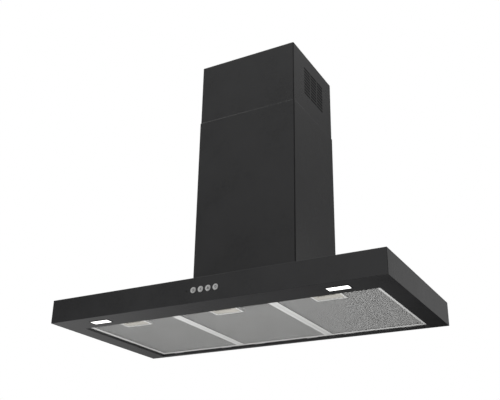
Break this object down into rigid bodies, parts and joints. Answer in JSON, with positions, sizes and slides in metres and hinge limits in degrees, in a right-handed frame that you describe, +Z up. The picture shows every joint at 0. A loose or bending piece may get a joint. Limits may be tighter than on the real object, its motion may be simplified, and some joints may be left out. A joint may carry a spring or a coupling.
{
  "type": "wall-mounted range hood",
  "caption": "T-shaped kitchen range hood: flat box canopy with lift-out grease filters, rim lamps and push buttons, under a telescopic chimney with side louvres.",
  "frame": {"origin": "centre of the canopy's underside", "axes": "+X to the hood's right as seen from the front, +Y to the wall behind it, +Z up"},
  "size_m": [0.898, 0.4512, 0.7879],
  "materials": {
    "black_enamel": "semi-matt black powder enamel",
    "galvanised_sheet": "galvanised steel sheet",
    "zinc_plated_steel": "zinc-plated steel",
    "filter_frame_aluminium": "natural aluminium",
    "filter_mesh_aluminium": "layers of expanded aluminium mesh",
    "latch_plastic": "beige-grey moulded plastic",
    "spring_steel": "bright spring wire",
    "lamp_lens": "white diffuser",
    "black_plastic": "fine-grained black plastic",
    "satin_button": "satin aluminium with a printed sign",
    "circuit_board": "glass-fibre board with green solder mask",
    "clear_plastic": "smoked clear plastic",
    "scroll_plastic": "dark grey moulded plastic",
    "impeller_plastic": "black moulded plastic",
    "motor_casing": "drawn steel can",
    "aluminium_can": "drawn aluminium can"
  },
  "bodies": {
    "hood": {"canopy_shell": "black_enamel", "underside_panel": "black_enamel", "rear_panel": "galvanised_sheet", "front_divider": "galvanised_sheet", "lamp_bezel_left": "black_plastic", "lamp_bezel_right": "black_plastic", "lamp_lens_left": "lamp_lens", "lamp_lens_right": "lamp_lens", "lamp_housing_left": "black_plastic", "lamp_housing_right": "black_plastic", "lamp_board_left": "circuit_board", "lamp_board_right": "circuit_board", "switch_housing": "black_plastic", "switch_board": "circuit_board", "indicator_light_pipe": "clear_plastic", "lower_chimney_cover": "black_enamel", "blower_box": "galvanised_sheet", "hanging_bracket_left": "zinc_plated_steel", "hanging_bracket_right": "zinc_plated_steel", "scroll_housing_left": "scroll_plastic", "scroll_housing_right": "scroll_plastic", "motor_stator": "motor_casing", "motor_bracket": "zinc_plated_steel", "duct_collar": "black_plastic", "flap_pin": "zinc_plated_steel", "control_box": "black_plastic", "control_box_lid": "black_plastic", "control_board": "circuit_board", "cable_gland": "black_plastic", "motor_capacitor": "aluminium_can", "box_screw_1": "zinc_plated_steel", "box_screw_2": "zinc_plated_steel", "box_screw_3": "zinc_plated_steel", "box_screw_4": "zinc_plated_steel"},
    "upper_chimney": {"upper_chimney_cover": "black_enamel", "upper_wall_bracket": "zinc_plated_steel"},
    "impeller_wheel": {"impeller": "impeller_plastic", "motor_rotor": "zinc_plated_steel"},
    "left_flap": {"flap_left": "black_plastic"},
    "right_flap": {"flap_right": "black_plastic"},
    "filter_1": {"filter_frame_1": "filter_frame_aluminium", "filter_mesh_1": "filter_mesh_aluminium", "latch_spring_1": "spring_steel"},
    "filter_2": {"filter_frame_2": "filter_frame_aluminium", "filter_mesh_2": "filter_mesh_aluminium", "latch_spring_2": "spring_steel"},
    "filter_3": {"filter_frame_3": "filter_frame_aluminium", "filter_mesh_3": "filter_mesh_aluminium", "latch_spring_3": "spring_steel"},
    "latch_1": {"filter_latch_1": "latch_plastic"},
    "latch_2": {"filter_latch_2": "latch_plastic"},
    "latch_3": {"filter_latch_3": "latch_plastic"},
    "push_button_1": {"button_1": "satin_button"},
    "push_button_2": {"button_2": "satin_button"},
    "push_button_3": {"button_3": "satin_button"},
    "push_button_4": {"button_4": "satin_button"}
  },
  "joints": [
    {"name": "upper_chimney_slide", "type": "slide", "parent": "hood", "child": "upper_chimney", "axis": [0, 0, 1], "range_m": [-0.18, 0.3]},
    {"name": "impeller_spin", "type": "hinge", "parent": "hood", "child": "impeller_wheel", "pos_m": [0, 0.07105, 0.1794], "axis": [1, 0, 0], "continuous": true},
    {"name": "left_flap_swing", "type": "hinge", "parent": "hood", "child": "left_flap", "pos_m": [0, 0.10964, 0.31405], "axis": [0, 1, 0], "range_deg": [0, 75]},
    {"name": "right_flap_swing", "type": "hinge", "parent": "hood", "child": "right_flap", "pos_m": [0, 0.10964, 0.31405], "axis": [0, -1, 0], "range_deg": [0, 75]},
    {"name": "filter_1_drop", "type": "hinge", "parent": "hood", "child": "filter_1", "pos_m": [-0.26773, 0.2125, 0.006], "axis": [1, 0, 0], "range_deg": [0, 60]},
    {"name": "filter_2_drop", "type": "hinge", "parent": "hood", "child": "filter_2", "pos_m": [0, 0.2125, 0.006], "axis": [1, 0, 0], "range_deg": [0, 60]},
    {"name": "filter_3_drop", "type": "hinge", "parent": "hood", "child": "filter_3", "pos_m": [0.26773, 0.2125, 0.006], "axis": [1, 0, 0], "range_deg": [0, 60]},
    {"name": "latch_1_slide", "type": "slide", "parent": "filter_1", "child": "latch_1", "axis": [0, 1, 0], "range_m": [0, 0.006], "stiffness_N_per_m": 300, "springref_m": -0.008, "deforming": ["latch_spring_1"]},
    {"name": "latch_2_slide", "type": "slide", "parent": "filter_2", "child": "latch_2", "axis": [0, 1, 0], "range_m": [0, 0.006], "stiffness_N_per_m": 300, "springref_m": -0.008, "deforming": ["latch_spring_2"]},
    {"name": "latch_3_slide", "type": "slide", "parent": "filter_3", "child": "latch_3", "axis": [0, 1, 0], "range_m": [0, 0.006], "stiffness_N_per_m": 300, "springref_m": -0.008, "deforming": ["latch_spring_3"]},
    {"name": "button_1_press", "type": "slide", "parent": "hood", "child": "push_button_1", "axis": [0, 1, 0], "range_m": [0, 0.001], "stiffness_N_per_m": 600, "springref_m": -0.002},
    {"name": "button_2_press", "type": "slide", "parent": "hood", "child": "push_button_2", "axis": [0, 1, 0], "range_m": [0, 0.001], "stiffness_N_per_m": 600, "springref_m": -0.002},
    {"name": "button_3_press", "type": "slide", "parent": "hood", "child": "push_button_3", "axis": [0, 1, 0], "range_m": [0, 0.001], "stiffness_N_per_m": 600, "springref_m": -0.002},
    {"name": "button_4_press", "type": "slide", "parent": "hood", "child": "push_button_4", "axis": [0, 1, 0], "range_m": [0, 0.001], "stiffness_N_per_m": 600, "springref_m": -0.002}
  ]
}
